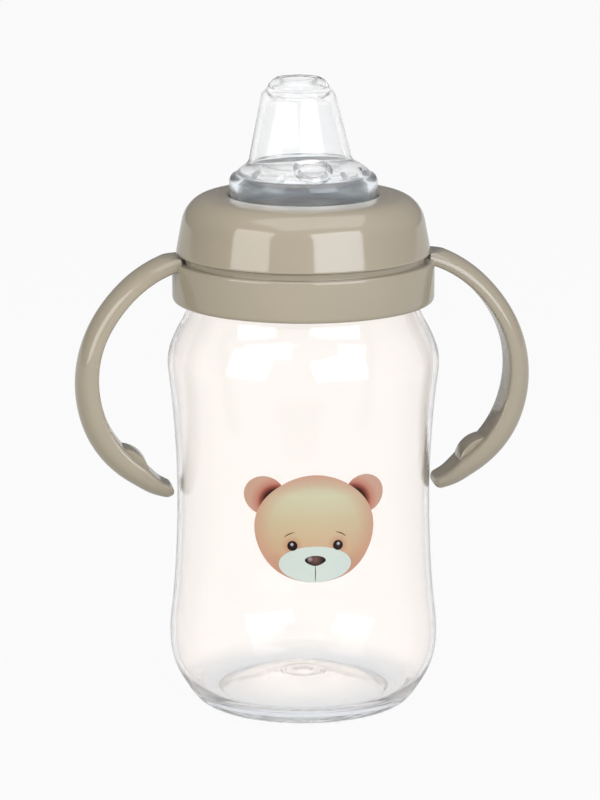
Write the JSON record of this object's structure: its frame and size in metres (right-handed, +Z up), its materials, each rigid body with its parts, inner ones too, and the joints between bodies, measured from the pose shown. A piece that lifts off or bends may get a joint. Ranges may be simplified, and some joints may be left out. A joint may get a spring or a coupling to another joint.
{
  "type": "sippy cup",
  "caption": "Clear waisted drinking bottle with a ring of open handles, a screw collar and a soft vented spout, printed with an animal face.",
  "frame": {"origin": "centre of the cup's box at the level of the foot, on the cup's axis", "axes": "+Z up along the cup's axis, +X towards one handle, -Y towards the printed front"},
  "size_m": [0.1128, 0.0666, 0.1548],
  "materials": {
    "clear_plastic": "clear moulded polypropylene, smooth and glossy",
    "beige_plastic": "opaque beige moulded polypropylene, smooth and glossy",
    "silicone": "clear soft silicone, smooth",
    "print_ink": "printed ink film"
  },
  "bodies": {
    "bottle_body": {"bottle": "clear_plastic", "bear_print": "print_ink"},
    "handles": {"handle_ring": "beige_plastic"},
    "spout_body": {"spout": "silicone"},
    "collar_body": {"collar": "beige_plastic"}
  },
  "joints": [
    {"name": "handle_turn", "type": "hinge", "parent": "bottle_body", "child": "handles", "pos_m": [0, 0, 0.108], "axis": [0, 0, 1], "continuous": true},
    {"name": "spout_lift", "type": "slide", "parent": "bottle_body", "child": "spout_body", "axis": [0, 0, 1], "range_m": [0, 0.0175]},
    {"name": "collar_turn", "type": "hinge", "parent": "spout_body", "child": "collar_body", "pos_m": [0, 0, 0.118], "axis": [0, 0, 1], "range_deg": [0, 1260]}
  ],
  "couplings": [
    {"joint": "spout_lift", "follows": "collar_turn", "m_per_rad": 0.00079577}
  ]
}
